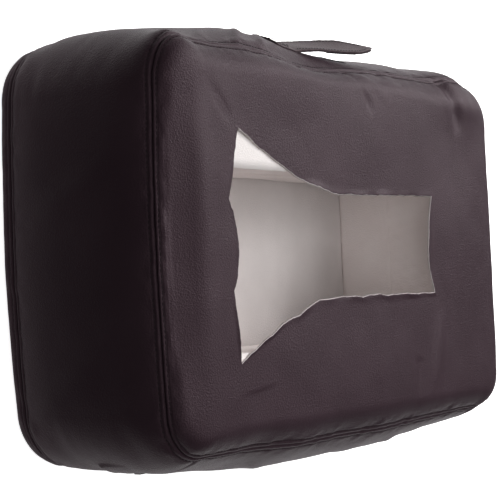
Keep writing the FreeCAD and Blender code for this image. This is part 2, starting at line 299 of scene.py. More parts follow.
def cushion_ring(inset, coarse=False):
    """The cushion's outline, moved in by inset, which can differ from column to column."""
    end = HALF_LENGTH - END_CROWN
    high = (end, STRAP_SIDE - SIDE_CROWN)
    crowns = (END_CROWN, SIDE_CROWN, END_CROWN, 0)
    ring = rounded_ring((-end, ZIP_SIDE), high, CORNER_RADIUS, crowns, coarse)
    return ring - ring_outward(ring) * np.reshape(inset, (-1, 1))


def ring_outward(ring):
    tangent = unit(np.roll(ring, -1, axis=0) - np.roll(ring, 1, axis=0))
    return np.stack([tangent[:, 1], -tangent[:, 0]], 1)


def roll_inset(height, coarse=False):
    """How far each column is in from the widest outline at one height."""
    share = min(abs(2 * height / HEIGHT - 1), 1.0)
    facing_end = np.abs(ring_outward(cushion_ring(0, coarse))[:, 0]) ** 2
    power = ROLL_POWER + (END_ROLL_POWER - ROLL_POWER) * facing_end
    if height < HEIGHT / 2:
        power = np.full_like(power, REST_POWER)
    return EDGE_ROLL * (1 - (1 - share ** power) ** (1 / power))


def bow(start, end, depth, count=12):
    """Points of a shallow arc from start to end, bulging by depth to the left of its direction."""
    start = np.array(start)
    end = np.array(end)
    t = np.linspace(0, 1, count)[:, None]
    left = np.array([start[1] - end[1], end[0] - start[0]]) / np.linalg.norm(end - start)
    return start + (end - start) * t + left * depth * 4 * t * (1 - t)


def along(points, count):
    """count points at even distances along a polyline, without its end."""
    points = np.array(points)
    steps = np.linalg.norm(np.diff(points, axis=0), axis=1)
    total = np.concatenate([[0], np.cumsum(steps)])
    wanted = np.arange(count) / count * total[-1]
    return np.stack([np.interp(wanted, total, points[:, axis]) for axis in (0, 1)], 1)


def smooth_line(points, steps=8):
    """A smooth curve through points."""
    places = np.linspace(0, len(points) - 1, steps * (len(points) - 1) + 1)
    return catmull_rom(np.array(points), places, False)


def opening_ring(coarse=False):
    """The face opening's trumpet outline, with the small wobble of a hand cut."""
    upper = smooth_line(UPPER_EDGE)
    lower = smooth_line(LOWER_EDGE)
    sides = [
        bow(LOWER_EDGE[-1], UPPER_EDGE[0], NARROW_BOW),
        upper,
        np.concatenate([upper[-1:], smooth_line(WIDE_EDGE), lower[:1]]),
        lower,
    ]
    counts = side_columns(coarse)
    ring = np.concatenate([along(side, count) for side, count in zip(sides, counts)])
    flat = np.concatenate([ring, np.zeros((len(ring), 1))], 1)
    wobble = np.stack([waves(flat, 0.022, seed) for seed in (5, 6)], 1)
    fine = np.stack([waves(flat, 0.006, seed) for seed in (7, 8)], 1)
    return ring + 0.00030 * wobble + 0.00012 * fine


# The cover's rows. A row is a number on one scale that the coarse and the fine grid share.

def side_profile():
    """Inset, height and distance along the rounded side, from the underside to the top."""
    turn = np.linspace(-math.pi / 2, math.pi / 2, 400)
    share = np.abs(np.sin(turn)) ** (2 / ROLL_POWER)
    height = HEIGHT / 2 * (1 + np.sign(turn) * share)
    inset = EDGE_ROLL * (1 - np.maximum(1 - share ** ROLL_POWER, 0) ** (1 / ROLL_POWER))
    steps = np.hypot(np.diff(inset), np.diff(height))
    return inset, height, np.concatenate([[0], np.cumsum(steps)])


INSET, SIDE_Z, SIDE_WAY = side_profile()
BACK_SEAM_WAY = np.interp(BACK_SEAM_Z, SIDE_Z, SIDE_WAY)
FRONT_SEAM_WAY = np.interp(FRONT_SEAM_Z, SIDE_Z, SIDE_WAY)
KNOT_ROWS = (0, ROW_BACK_SEAM, ROW_FRONT_SEAM, ROW_TOP)
KNOT_WAYS = (0, BACK_SEAM_WAY, FRONT_SEAM_WAY, SIDE_WAY[-1])


def row_at_way(way):
    return float(np.interp(way, KNOT_WAYS, KNOT_ROWS))


def row_at_height(height):
    return row_at_way(np.interp(height, SIDE_Z, SIDE_WAY))


def base_row(row, coarse=False):
    """The cover's undisturbed points along one row."""
    if row <= 0:
        ring = cushion_ring(EDGE_ROLL, coarse)
        middle = np.stack([ring[:, 0] * 0.45, ring[:, 1] * 0.02], 1)
        flat = ring + (middle - ring) * (row / ROW_CENTRE)
        return np.concatenate([flat, np.zeros((len(flat), 1))], 1)
    way = np.interp(row, KNOT_ROWS, KNOT_WAYS)
    height = np.interp(way, SIDE_WAY, SIDE_Z)
    ring = cushion_ring(roll_inset(height, coarse), coarse)
    if row > ROW_TOP:
        share = (row - ROW_TOP) / (ROW_EDGE - ROW_TOP)
        ring = ring + (opening_ring(coarse) - ring) * share
    return np.concatenate([ring, np.full((len(ring), 1), height)], 1)


def fine_rows():
    """Rows close together at the seams and at the cut edge, wider apart elsewhere."""
    rows = list(np.linspace(ROW_CENTRE, 0, 12))
    way = 0.0
    ways = []
    while way < SIDE_WAY[-1]:
        near = min(abs(way - BACK_SEAM_WAY), abs(way - FRONT_SEAM_WAY))
        way += 0.0008 if near < 0.010 else 0.0026
        ways.append(way)
    rows += [row_at_way(way) for way in ways if way < SIDE_WAY[-1] - 0.001]
    rows += list(ROW_TOP + (ROW_EDGE - ROW_TOP) * (1 - np.linspace(1, 0, 40) ** 1.3))
    exact = [ROW_BACK_SEAM, ROW_FRONT_SEAM, row_at_height(WINDOW_LOW), row_at_height(WINDOW_HIGH)]
    rows = [row for row in rows if min(abs(row - place) for place in exact) > 0.05]
    return sorted(rows + exact)


# Cloth simulation of the cover

def pinned(grid, rows):
    """1 where the fabric is sewn or rests on the foam, 0 where it is free."""
    pin = np.zeros(grid.shape[:2])
    for row in (0, ROW_BACK_SEAM, ROW_FRONT_SEAM, ROW_EDGE):
        pin[rows.index(row)] = 1
    beside_zip = (np.abs(grid[..., 2] - HEIGHT / 2) < 0.009) & (np.abs(grid[..., 0]) < ZIP_HALF)
    pin[beside_zip & (grid[..., 1] < 0)] = 1
    return pin


def inflate():
    """How far the coarse grid moves when its slack fabric is blown up between the seams."""
    rows = list(range(0, ROW_EDGE + 1))
    grid = np.stack([base_row(row, True) for row in rows])
    count_rows, columns = grid.shape[:2]
    faces = grid_faces(count_rows, columns, True)
    obj = new_object("cover_simulation", grid.reshape(-1, 3), faces, [])
    group = obj.vertex_groups.new(name="pin")
    for index in np.flatnonzero(pinned(grid, rows).ravel()):
        group.add([int(index)], 1.0, "REPLACE")
    cloth = obj.modifiers.new("cloth", "CLOTH")
    settings = cloth.settings
    settings.quality = 6
    settings.mass = 0.25
    settings.tension_stiffness = 25
    settings.compression_stiffness = 25
    settings.shear_stiffness = 8
    settings.bending_stiffness = 0.25
    settings.use_pressure = True
    settings.uniform_pressure_force = PRESSURE
    settings.shrink_min = -SLACK
    settings.vertex_group_mass = "pin"
    settings.effector_weights.gravity = 0
    scene = bpy.context.scene
    cloth.point_cache.frame_start = 1
    cloth.point_cache.frame_end = LAST_FRAME
    for number in range(1, LAST_FRAME + 1):
        scene.frame_set(number)
    result = obj.evaluated_get(bpy.context.evaluated_depsgraph_get()).to_mesh()
    moved = np.empty(len(result.vertices) * 3)
    result.vertices.foreach_get("co", moved)
    shift = moved.reshape(grid.shape) - grid
    scene.frame_set(1)
    bpy.data.objects.remove(obj)
    return limited(shift, grid)


def limited(shift, grid):
    """The simulation's shift, held to a few millimetres, flat on top and smooth along the rows."""
    normals = grid_normals(grid, True)
    outward = (shift * normals).sum(-1)
    sideways = shift - outward[..., None] * normals
    length = np.linalg.norm(sideways, axis=-1, keepdims=True)
    sideways *= MOST_SIDEWAYS / np.maximum(length, MOST_SIDEWAYS)
    cap = np.where(outward > 0, MOST_OUT, MOST_IN)
    on_top = np.clip((grid[..., 2] - HEIGHT + 0.0015) / 0.001, 0, 1)
    outward = cap * np.tanh(outward / cap) * (1 - (1 - SHARE_ON_TOP) * on_top)
    for _ in range(4):
        outward = (np.roll(outward, 1, 1) + 2 * outward + np.roll(outward, -1, 1)) / 4
    return outward[..., None] * normals + sideways * (1 - on_top[..., None])


# Shape that is modelled directly: lumps, folds, seams, cut edge

# Middle, reach along x, y and z, and height of each lump of the filled cover; a hollow's is negative
LUMPS = (
    ((-0.105, 0.155, 0.108), (0.068, 0.040, 0.040), 0.0098),
    ((0.110, 0.155, 0.105), (0.045, 0.035, 0.040), 0.0065),
    ((0.183, 0.148, 0.125), (0.045, 0.035, 0.065), 0.0130),
    ((-0.205, 0.148, 0.045), (0.050, 0.040, 0.060), 0.0035),
    ((-0.228, 0.142, 0.140), (0.028, 0.028, 0.022), 0.0072),
    ((0.040, -0.153, 0.102), (0.110, 0.030, 0.040), 0.0085),
    ((-0.090, -0.153, 0.102), (0.060, 0.030, 0.040), 0.0055),
    ((-0.215, -0.145, 0.030), (0.040, 0.040, 0.050), -0.0040),
    ((0.240, 0.070, 0.100), (0.030, 0.060, 0.050), -0.0016),
    ((-0.240, 0.090, 0.005), (0.030, 0.050, 0.030), 0.0008),
    ((-0.240, -0.020, 0.075), (0.030, 0.080, 0.045), 0.0015),
    ((0.060, 0.105, 0.150), (0.070, 0.030, 0.020), 0.0018),
    ((-0.100, 0.110, 0.150), (0.060, 0.025, 0.020), 0.0014),
    ((0.020, -0.095, 0.150), (0.110, 0.030, 0.020), 0.0014),
    ((0.180, 0.000, 0.150), (0.030, 0.090, 0.020), 0.0012),
    ((-0.227, 0.000, 0.147), (0.016, 0.130, 0.020), -0.0080),
    ((-0.201, 0.030, 0.150), (0.010, 0.100, 0.020), 0.0014),
)

# Place, reach and distance by which the strap side's front seam is drawn in; negative is out
DRAWN_IN = ((-0.055, 0.066, 0.0098), (-0.205, 0.030, -0.0035), (0.176, 0.030, -0.0020))

# Start, end, half width and height of each fold: a ridge with a hollow on both sides. Where the
# height is negative, it is a crease with a ridge on both sides.
FOLDS = (
    ((-0.175, 0.143, 0.132), (-0.135, 0.158, 0.100), 0.0055, 0.0023),
    ((-0.135, 0.143, 0.132), (-0.090, 0.158, 0.102), 0.0050, 0.0025),
    ((-0.105, 0.143, 0.132), (-0.065, 0.158, 0.104), 0.0048, 0.0021),
    ((-0.150, 0.143, 0.134), (-0.060, 0.150, 0.122), 0.0050, 0.0020),
    ((0.000, 0.138, 0.139), (0.022, 0.108, 0.150), 0.0050, -0.0026),
    ((0.010, 0.138, 0.140), (0.050, 0.118, 0.149), 0.0060, 0.0010),
    ((0.148, 0.146, 0.139), (0.170, 0.104, 0.150), 0.0080, -0.0040),
    ((0.130, 0.150, 0.128), (0.185, 0.150, 0.134), 0.0035, 0.0016),
    ((-0.168, 0.086, 0.150), (-0.190, 0.108, 0.149), 0.0060, -0.0007),
    ((0.205, -0.130, 0.135), (0.222, -0.110, 0.144), 0.0040, -0.0015),
    ((0.192, -0.136, 0.135), (0.205, -0.116, 0.146), 0.0040, -0.0013),
    ((0.125, -0.055, 0.150), (0.105, -0.125, 0.149), 0.0110, 0.0012),
    ((0.085, -0.060, 0.150), (0.080, -0.125, 0.148), 0.0110, -0.0010),
    ((-0.244, 0.060, 0.110), (-0.246, 0.020, 0.040), 0.0140, 0.0010),
    ((-0.244, -0.070, 0.100), (-0.246, -0.110, 0.030), 0.0140, 0.0010),
    ((0.238, 0.090, 0.120), (0.246, 0.050, 0.060), 0.0110, 0.0012),
    ((0.050, 0.157, 0.060), (0.100, 0.152, 0.095), 0.0080, 0.0012),
    ((-0.120, -0.153, 0.118), (-0.080, -0.157, 0.096), 0.0070, 0.0012),
    ((0.070, -0.152, 0.122), (0.110, -0.157, 0.098), 0.0070, 0.0012),
    ((0.010, -0.153, 0.030), (0.050, -0.157, 0.052), 0.0070, 0.0010),
)


def segment_distance(points, start, end):
    """Distance from each point to a segment, and how far along it the nearest point is."""
    start = np.array(start)
    end = np.array(end)
    way = ((points - start) @ (end - start)) / ((end - start) @ (end - start))
    nearest = start + np.clip(way, 0, 1)[..., None] * (end - start)
    return np.linalg.norm(points - nearest, axis=-1), way


def modelled_relief(points):
    """Height of the lumps, folds and soft unevenness at each point of the undisturbed cover."""
    relief = np.zeros(points.shape[:2])
    for middle, reach, height in LUMPS:
        relief += height * np.exp(-(((points - middle) / reach) ** 2).sum(-1))
    for start, end, width, height in FOLDS:
        distance, way = segment_distance(points, start, end)
        ratio = (distance / width) ** 2
        taper = np.exp(-np.clip(np.abs(way - 0.5) - 0.15, 0, None) ** 2 / 0.10)
        relief += height * (1 - 0.6 * ratio) * np.exp(-ratio) * taper
    relief += 0.0004 * waves(points, 0.110, 11) + 0.00010 * waves(points, 0.040, 12)
    return relief


def seam_relief(distance, points, seed):
    """Two soft ridges between three stitched grooves, with puckers beside them."""
    beside = np.abs(distance)
    groove = -0.0012 * bell(beside, 0.0007) - 0.0006 * bell(beside - TOPSTITCH, 0.0006)
    ridge = 0.0003 * bell(beside - TOPSTITCH / 2, 0.0012)
    pucker = waves(points, 0.016, seed) * 0.00024 + waves(points, 0.008, seed + 1) * 0.00010
    draw = -0.0010 * bell(beside, 0.007)
    return groove + ridge + draw + pucker * bell(beside - 0.005, 0.0055)


def row_ways(rows):
    """Distance of each row from the underside's border; the top counts on from the side."""
    step = 0.005
    return np.array([
        row * step if row < 0 else
        np.interp(row, KNOT_ROWS, KNOT_WAYS) + max(row - ROW_TOP, 0) * step
        for row in rows
    ])


def zip_side_relief(relief, grid):
    """The relief with the zip's side added: stitched grooves, flat beside the zip, band ends."""
    on_side = grid[..., 1] < -0.12
    on_bands = on_side & (np.abs(grid[..., 0]) < ZIP_HALF + 0.02)
    from_zip = np.abs(grid[..., 2] - HEIGHT / 2)
    relief = relief - on_bands * 0.0008 * bell(from_zip - ZIP_STITCH, 0.0008)
    relief = np.where(on_bands & (from_zip < 0.012), np.clip(relief, -0.0008, 0.0004), relief)
    from_band_end = np.abs(np.abs(grid[..., 0]) - ZIP_HALF)
    return relief - on_side * (from_zip < 0.058) * 0.0014 * bell(from_band_end, 0.0016)


def cut_edge_relief(grid, row_numbers):
    """The cut edge of the opening lifts a little off the foam, more in some places than others."""
    lift = 0.0005 + 0.0004 * waves(grid, 0.040, 41)
    return np.clip(lift, -0.0002, 0.0015) * bell(ROW_EDGE - row_numbers[:, None], 0.6)


def draw_in_seam(grid):
    """Moves the strap side's front seam, and the cloth beside it, in or out."""
    on_strap_side = np.clip(grid[..., 1] / 0.04 - 2.2, 0, 1)
    beside_seam = bell(grid[..., 2] - FRONT_SEAM_Z, 0.013) * on_strap_side
    for place, reach, distance in DRAWN_IN:
        grid[..., 1] -= distance * bell(grid[..., 0] - place, reach) * beside_seam


def cover_grid():
    """The finished outside of the cover as a (row, column) grid, with the numbers of its rows."""
    rows = fine_rows()
    grid = np.stack([base_row(row) for row in rows])
    row_numbers = np.array(rows)
    normals = grid_normals(grid, True)
    on_side = row_numbers > 0
    columns = np.arange(grid.shape[1]) / COARSE
    shift = catmull_rom(inflate().transpose(1, 0, 2), columns, True).transpose(1, 0, 2)
    grid[on_side] += catmull_rom(shift, row_numbers[on_side], False)
    relief = modelled_relief(grid) * np.clip(row_numbers / 1.5, 0, 1)[:, None]
    way = row_ways(rows)[:, None] * np.ones(grid.shape[1])
    relief += seam_relief(way - FRONT_SEAM_WAY, grid, 21) * on_side[:, None]
    relief += seam_relief(way - BACK_SEAM_WAY, grid, 31) * on_side[:, None]
    relief = zip_side_relief(relief, grid)
    relief += cut_edge_relief(grid, row_numbers)
    over_foam = (row_numbers > ROW_TOP + 6)[:, None]
    relief = np.where(over_foam, np.maximum(relief, -0.0001), relief)
    grid = grid + relief[..., None] * normals
    draw_in_seam(grid)
    grid[..., 2] = np.maximum(grid[..., 2], 0)
    return grid, rows


# Materials

GRAIN_DEPTH = 0.0005


def new_material(name):
    material = bpy.data.materials.new(name)
    material.use_nodes = True
    tree = material.node_tree
    shader = tree.nodes["Principled BSDF"]
    return material, tree, shader


def add_node(tree, kind, inputs=None, **settings):
    node = tree.nodes.new(kind)
    for key, value in settings.items():
        setattr(node, key, value)
    for key, value in (inputs or {}).items():
        if hasattr(value, "is_linked"):
            tree.links.new(value, node.inputs[key])
        else:
            node.inputs[key].default_value = value
    return node


def position(tree):
    return add_node(tree, "ShaderNodeTexCoord").outputs["Object"]


def mixed_colour(tree, factor, low, high):
    """A colour ramp from low to high over a texture's middle range."""
    ramp = add_node(tree, "ShaderNodeValToRGB", {"Fac": factor})
    ramp.color_ramp.elements[0].position = 0.3
    ramp.color_ramp.elements[0].color = (*low, 1)
    ramp.color_ramp.elements[1].position = 0.7
    ramp.color_ramp.elements[1].color = (*high, 1)
    return ramp.outputs["Color"]


def leather(name, low, high, roughness):
    """Leather cloth: soft cloudy colour and a fine pebble grain."""
    material, tree, shader = new_material(name)
    place = position(tree)
    cloud = add_node(tree, "ShaderNodeTexNoise", {"Vector": place, "Scale": 14, "Detail": 5})
    pebbles = add_node(tree, "ShaderNodeTexVoronoi", {"Vector": place, "Scale": 900},
                       feature="SMOOTH_F1")
    pores = add_node(tree, "ShaderNodeTexNoise", {"Vector": place, "Scale": 2200, "Detail": 2})
    tree.links.new(mixed_colour(tree, cloud.outputs["Fac"], low, high),
                   shader.inputs["Base Color"])
    height = add_node(tree, "ShaderNodeMath",
                      {0: pebbles.outputs["Distance"], 1: pores.outputs["Fac"]}, operation="ADD")
    bump = add_node(tree, "ShaderNodeBump",
                    {"Height": height.outputs[0], "Strength": 0.55, "Distance": GRAIN_DEPTH})
    tree.links.new(bump.outputs["Normal"], shader.inputs["Normal"])
    shader.inputs["Roughness"].default_value = roughness
    shader.inputs["Specular IOR Level"].default_value = 0.30
    shader.inputs["Specular Tint"].default_value = (1.0, 0.80, 0.86, 1)
    return material


def fibre(name, low, high, scale, strength, roughness=0.95):
    """Thread, knit, tape, nap or foam: matt, with fine broken relief."""
    material, tree, shader = new_material(name)
    place = position(tree)
    cloud = add_node(tree, "ShaderNodeTexNoise", {"Vector": place, "Scale": 30, "Detail": 4})
    fine = add_node(tree, "ShaderNodeTexNoise", {"Vector": place, "Scale": scale, "Detail": 3})
    tree.links.new(mixed_colour(tree, cloud.outputs["Fac"], low, high),
                   shader.inputs["Base Color"])
    bump = add_node(tree, "ShaderNodeBump",
                    {"Height": fine.outputs["Fac"], "Strength": strength, "Distance": GRAIN_DEPTH})
    tree.links.new(bump.outputs["Normal"], shader.inputs["Normal"])
    shader.inputs["Roughness"].default_value = roughness
    shader.inputs["Specular IOR Level"].default_value = 0.15
    return material


def foam_material(name, low, high):
    """Open-cell foam: pale, with small round cells."""
    material, tree, shader = new_material(name)
    place = position(tree)
    cloud = add_node(tree, "ShaderNodeTexNoise", {"Vector": place, "Scale": 22, "Detail": 6})
    cells = add_node(tree, "ShaderNodeTexVoronoi", {"Vector": place, "Scale": 900})
    tree.links.new(mixed_colour(tree, cloud.outputs["Fac"], low, high),
                   shader.inputs["Base Color"])
    bump = add_node(tree, "ShaderNodeBump",
                    {"Height": cells.outputs["Distance"], "Strength": 0.35,
                     "Distance": GRAIN_DEPTH})
    tree.links.new(bump.outputs["Normal"], shader.inputs["Normal"])
    shader.inputs["Roughness"].default_value = 1.0
    shader.inputs["Specular IOR Level"].default_value = 0.05
    return material


def metal_material():
    """Dark nickel with faint brushing."""
    material, tree, shader = new_material("zip_metal")
    place = position(tree)
    brushing = add_node(tree, "ShaderNodeTexNoise", {"Vector": place, "Scale": 900, "Detail": 2})
    tree.links.new(mixed_colour(tree, brushing.outputs["Fac"], (0.20, 0.19, 0.185),
                                (0.30, 0.285, 0.275)), shader.inputs["Base Color"])
    shader.inputs["Metallic"].default_value = 1.0
    shader.inputs["Roughness"].default_value = 0.32
    return material


LEATHER = leather("cover_leather", (0.043, 0.0235, 0.0325), (0.055, 0.0320, 0.0425), 0.44)
STRAP_LEATHER = leather("strap_leather", (0.075, 0.054, 0.060), (0.095, 0.070, 0.076), 0.52)
STRAP_LINING = leather("strap_lining", (0.040, 0.028, 0.032), (0.052, 0.037, 0.042), 0.65)
KNIT = fibre("knit_backing", (0.62, 0.57, 0.57), (0.78, 0.73, 0.73), 1500, 0.6)
FOAM = foam_material("foam", (0.92, 0.86, 0.845), (0.96, 0.915, 0.90))
# The same foam as above, painted darker for the chamber's floor: painted shade on the floor, not a
# different foam
FLOOR_FOAM_PAINTED_SHADE = foam_material("foam_floor", (0.78, 0.74, 0.73), (0.85, 0.81, 0.80))
THREAD = fibre("thread", (0.030, 0.020, 0.024), (0.050, 0.036, 0.042), 3000, 0.3, 0.6)
TAPE = fibre("zip_tape", (0.030, 0.022, 0.026), (0.042, 0.032, 0.037), 1400, 0.7)
TEETH = fibre("zip_teeth", (0.035, 0.028, 0.031), (0.045, 0.036, 0.040), 600, 0.1, 0.4)
METAL = metal_material()
HOOKS = fibre("hook_tape", (0.025, 0.020, 0.023), (0.040, 0.032, 0.036), 1100, 1.0)
LOOPS = fibre("loop_tape", (0.030, 0.023, 0.027), (0.045, 0.036, 0.041), 1800, 1.0)


# Stitches

def stitch_mesh(name, stitches):
    """One mesh of short threads, each given by its start, end and the surface's normal."""
    sides = 6
    stations = ((0.0, 0.25), (0.12, 0.85), (0.5, 1.0), (0.88, 0.85), (1.0, 0.25))
    vertices = []
    faces = []
    for start, end, normal in stitches:
        first = len(vertices)
        tangent = unit(end - start)
        across = unit(np.cross(tangent, normal))
        for way, scale in stations:
            arch = 4 * way * (1 - way) * 0.00025 - 0.0001
            middle = start + (end - start) * way + normal * arch
            for step in range(sides):
                angle = 2 * math.pi * step / sides
                ring = across * math.cos(angle) + normal * math.sin(angle)
                vertices.append(middle + ring * THREAD_RADIUS * scale)
        for station in range(len(stations) - 1):
            for step in range(sides):
                a = first + station * sides + step
                b = first + station * sides + (step + 1) % sides
                faces.append((a, b, b + sides, a + sides))
        last = first + (len(stations) - 1) * sides
        faces.append(tuple(first + step for step in reversed(range(sides))))
        faces.append(tuple(last + step for step in range(sides)))
    return new_object(name, vertices, faces, [THREAD])


def stitches_along(line, normals, closed):
    """Stitches at an even pitch along a line on a surface."""
    if closed:
        line = np.concatenate([line, line[:1]])
        normals = np.concatenate([normals, normals[:1]])
    steps = np.linalg.norm(np.diff(line, axis=0), axis=1)
    total = np.concatenate([[0], np.cumsum(steps)])
    count = int(total[-1] / STITCH_PITCH)
    found = []
    for index in range(count):
        ways = index * STITCH_PITCH + np.array([0, STITCH_LENGTH / 2, STITCH_LENGTH])
        points = [np.array([np.interp(way, total, line[:, axis]) for axis in range(3)])
                  for way in ways]
        normal = np.array([np.interp(ways[1], total, normals[:, axis]) for axis in range(3)])
        found.append((points[0], points[2], unit(normal)))
    return found


# Cover

def make_cover(grid, rows):
    """Cuts the grid into the sewn panels, with their knitted backing, and adds the stitches."""
    normals = grid_normals(grid, True)
    inner = grid - WALL * normals
    inner[-1] += BACKING_SHOWS * unit(grid[-1] - grid[-2])
    back = rows.index(ROW_BACK_SEAM)
    front = rows.index(ROW_FRONT_SEAM)
    window_low = rows.index(row_at_height(WINDOW_LOW))
    window_high = rows.index(row_at_height(WINDOW_HIGH))
    columns = grid.shape[1]
    near_zip = np.abs(base_row(ROW_FRONT_SEAM)[:, 0]) < ZIP_HALF
    zip_columns = np.flatnonzero(near_zip & (np.arange(columns) > columns - SIDE_COLUMNS))
    band = np.arange(zip_columns[0], zip_columns[-1] + 1)
    rest = np.arange(zip_columns[-1], zip_columns[0] + columns + 1) % columns
    every = np.arange(columns)
    pieces = {
        "front_panel": (front, len(rows) - 1, every, True, "cover_front_panel"),
        "back_panel": (0, back, every, True, "cover_back_panel"),
        "boxing": (back, front, rest, False, "cover_boxing"),
        "zip_band_high": (window_high, front, band, False, "cover_zip_band_upper"),
        "zip_band_low": (back, window_low, band, False, "cover_zip_band_lower"),
    }
    for name, (first, last, chosen, closed, node) in pieces.items():
        outer_part = grid[first:last + 1][:, chosen]
        inner_part = inner[first:last + 1][:, chosen]
        raw = (last - first,) if name == "front_panel" else ()
        obj = sheet_object(name, outer_part, inner_part, closed, [LEATHER, KNIT], raw)
        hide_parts(node)
        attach(obj, "cushion")
    make_seam_stitches(grid, normals, rows, band)


def make_seam_stitches(grid, normals, rows, band):
    """Rows of stitches on both sides of the two seams and of the zip."""
    ways = row_ways(rows)
    for name, seam, node in (("front_topstitching", FRONT_SEAM_WAY, "front_seam_stitching"),
                             ("back_topstitching", BACK_SEAM_WAY, "back_seam_stitching")):
        found = []
        for side in (-1, 1):
            row = int(np.argmin(np.abs(ways - seam - side * TOPSTITCH)))
            found += stitches_along(grid[row], normals[row], True)
        finish_stitches(name, found, node)
    found = []
    for height in (HEIGHT / 2 - ZIP_STITCH, HEIGHT / 2 + ZIP_STITCH):
        row = int(np.argmin(np.abs(np.array(rows) - row_at_height(height))))
        found += stitches_along(grid[row][band], normals[row][band], False)
    finish_stitches("zip_topstitching", found, "zip_band_stitching")


def finish_stitches(name, found, node):
    obj = stitch_mesh(name, found)
    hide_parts(node)
    if node == "strap_stitching":
        bend_strap(obj)
    else:
        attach(obj, "cushion")


# Foam

def chamber_ring(grow):
    low = (CHAMBER_X[0] - grow, CHAMBER_Y[0] - grow)
    high = (CHAMBER_X[1] + grow, CHAMBER_Y[1] + grow)
    return rounded_ring(low, high, CHAMBER_CORNER, (0, 0, 0, 0))


def at_height(ring, height):
    return np.concatenate([ring, np.full((len(ring), 1), height)], 1)


def foam_outline(height):
    """The foam's outside at one height, clear of the cover's hollows."""
    share = np.clip((height - 0.60 * HEIGHT) / (0.35 * HEIGHT), 0, 1)
    room = FOAM_ROOM + EXTRA_ROOM * share
    return cushion_ring(np.interp(height, SIDE_Z, INSET) + room)


def shape_walls(grid, count, seed):
    """Gives the chamber's walls, the first rows of a foam layer, their knife waves and lean."""
    wall = grid[:count]
    outward = np.zeros_like(wall)
    outward[..., :2] = unit(wall[..., :2])
    ripple = 0.00025 * waves(wall * (1, 1, 0.35), 0.070, seed)
    ripple += 0.00012 * waves(wall * (1, 1, 3.0), 0.012, seed + 1)
    wall += outward * ripple[..., None]
    leaning = np.clip(grid[..., 1] / CHAMBER_Y[1], 0, 1) * bell(grid[..., 1] - CHAMBER_Y[1], 0.010)
    leaning *= (np.abs(grid[..., 0]) < HALF_LENGTH - 0.04)
    grid[..., 1] -= SQUEEZE * leaning * (grid[..., 2] - BASE_HIGH.z) / (HEIGHT - BASE_HIGH.z)


def make_foam_ring(name, low, high, node, seed):
    """A foam layer with the chamber cut through it."""
    count = 26
    shares = 0.5 - 0.5 * np.cos(np.linspace(0, math.pi, count))
    loop = []
    for share in shares:
        height = low + (high - low) * share
        groove = FLOOR_GROOVE * bell(height - BASE_HIGH.z, GROOVE_HALF)
        groove += JOINT_GROOVE * bell(height - MIDDLE_HIGH.z, GROOVE_HALF)
        loop.append(at_height(chamber_ring(groove), height))
    top_inner = chamber_ring(0.001)
    top_outer = foam_outline(high)
    for share in np.linspace(0, 1, 10)[1:]:
        loop.append(at_height(top_inner + (top_outer - top_inner) * share, high))
    for share in np.linspace(1, 0, 12)[1:]:
        height = low + (high - low) * share
        loop.append(at_height(foam_outline(height), height))
    low_outer = foam_outline(low)
    for share in np.linspace(0, 1, 10)[1:-1]:
        loop.append(at_height(low_outer + (chamber_ring(0.001) - low_outer) * share, low))
    grid = np.stack(loop)
    shape_walls(grid, count, seed)
    rows, columns = grid.shape[:2]
    faces = grid_faces(rows, columns, True)
    last = (rows - 1) * columns
    for column in range(columns):
        after = (column + 1) % columns
        faces.append((last + column, last + after, after, column))
    faces = [tuple(reversed(face)) for face in faces]
    obj = new_object(name, grid.reshape(-1, 3), faces, [FOAM])
    finish_foam(obj, node)


def finish_foam(obj, node):
    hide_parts(node)
    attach(obj, "cushion")


def make_foam_base():
    """The whole bottom layer, whose top is the chamber's floor."""
    low = BASE_LOW.z + 0.0006
    high = BASE_HIGH.z
    loop = []
    for share in np.linspace(0.02, 1, 10):
        loop.append(at_height(foam_outline(low) * share, low))
    for share in np.linspace(0, 1, 12)[1:]:
        height = low + (high - low) * share
        loop.append(at_height(foam_outline(height), height))
    edge = foam_outline(high)
    for share in np.linspace(1, 0.02, 70)[1:]:
        loop.append(at_height(edge * share, high))
    grid = np.stack(loop)
    rows, columns = grid.shape[:2]
    faces = grid_faces(rows, columns, True)
    faces.append(tuple(reversed(range(columns))))
    faces.append(tuple((rows - 1) * columns + column for column in range(columns)))
    # The floor layer takes the darker foam copy: painted shade on the chamber's floor
    obj = new_object("foam_floor_layer", grid.reshape(-1, 3), faces, [FLOOR_FOAM_PAINTED_SHADE])
    finish_foam(obj, "foam_base_layer")


# Strap

def side_surface(grid, places, heights):
    """How far out the strap side of the cover is, at places along it and their heights."""
    belt = grid[np.argmin(np.abs(grid[..., 2].mean(1) - HEIGHT / 2))]
    side = grid[:, (belt[:, 1] > 0.1) & (np.abs(belt[:, 0]) < 0.19)][:, ::-1]
    chosen = [row for row in side if BACK_SEAM_Z < row[:, 2].mean() < FRONT_SEAM_Z]
    out = np.stack([np.interp(places, row[:, 0], row[:, 1]) for row in chosen])
    level = np.stack([np.interp(places, row[:, 0], row[:, 2]) for row in chosen])
    return np.array([np.interp(height, level[:, index], out[:, index])
                     for index, height in enumerate(heights)])


def free_share(ways):
    """0 on the strap's sewn end, rising to 1 at its point."""
    return np.clip((ways - STRAP_ROOT) / STRAP_FREE, 0, 1)


def layer_gap(ways):
    """The strap's two layers part a little towards the point."""
    return 0.0009 * free_share(ways) ** 6


